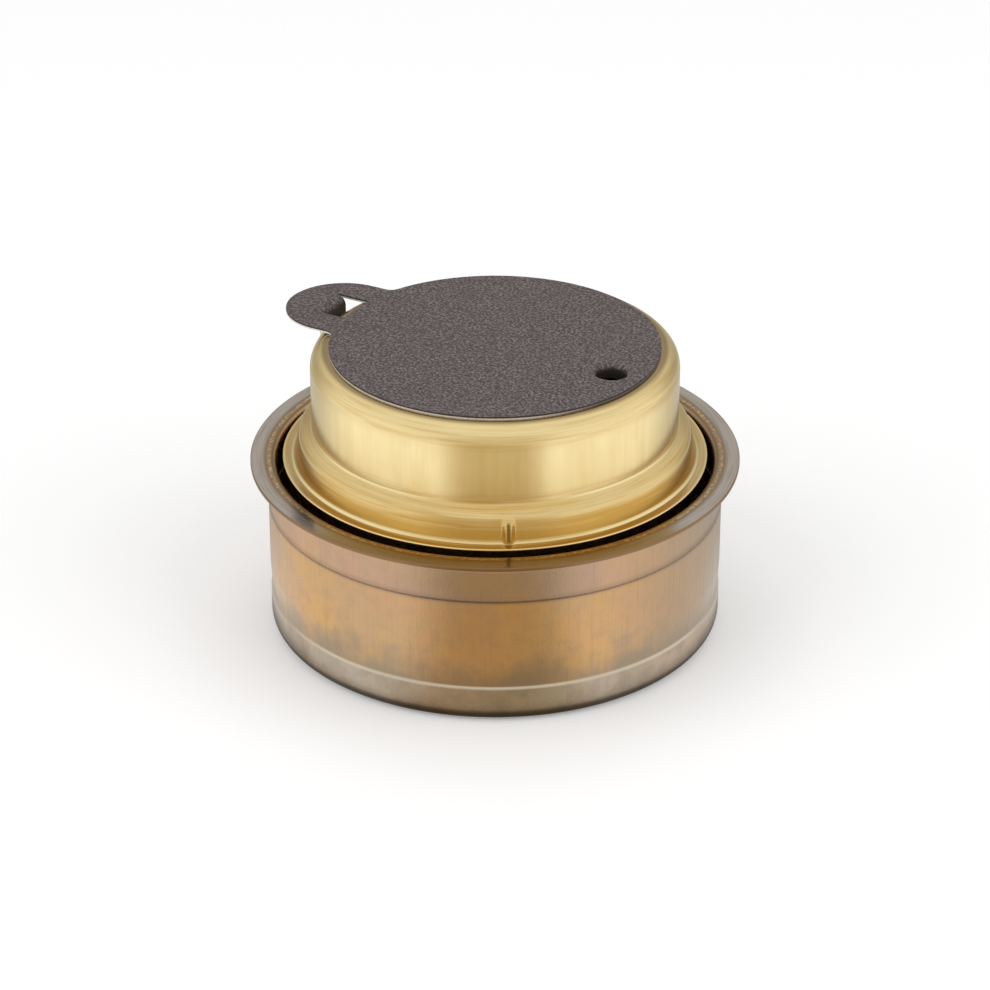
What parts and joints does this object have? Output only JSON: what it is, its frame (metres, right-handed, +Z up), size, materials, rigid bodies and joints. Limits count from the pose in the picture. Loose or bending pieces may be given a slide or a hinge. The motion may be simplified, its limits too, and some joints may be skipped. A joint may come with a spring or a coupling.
{
  "type": "spirit burner",
  "caption": "Round brass spirit burner with a wick bowl, a push-on shouldered cap and a flat tabbed lid, standing in a rimmed holder cup that drops into a stove ring.",
  "frame": {"origin": "middle of the base, on the surface that the burner stands on", "axes": "+Z up along the burner's axis; the lid's tab points along -X and its vent hole lies towards +X"},
  "size_m": [0.073, 0.073, 0.0446],
  "materials": {
    "tinted_brass": "brushed brass, tinted copper brown by heat",
    "plain_brass": "plain drawn brass",
    "bright_brass": "bright satin brass",
    "fibre": "loose absorbent fibre",
    "wire": "dull steel wire",
    "dark_coat": "dark fine-wrinkle coating with bare cut edges"
  },
  "bodies": {
    "holder": {"outer_cup": "tinted_brass"},
    "burner": {"fuel_bowl": "plain_brass", "wadding": "fibre", "gauze": "wire", "gauze_ring": "wire"},
    "cap": {"burner_cap": "bright_brass"},
    "lid": {"lid": "dark_coat"}
  },
  "joints": [
    {"name": "burner_lift", "type": "slide", "parent": "holder", "child": "burner", "axis": [0, 0, 1], "range_m": [0, 0.04]},
    {"name": "cap_lift", "type": "slide", "parent": "burner", "child": "cap", "axis": [0, 0, 1], "range_m": [0, 0.025]},
    {"name": "lid_lift", "type": "slide", "parent": "cap", "child": "lid", "axis": [0, 0, 1], "range_m": [0, 0.03]}
  ]
}
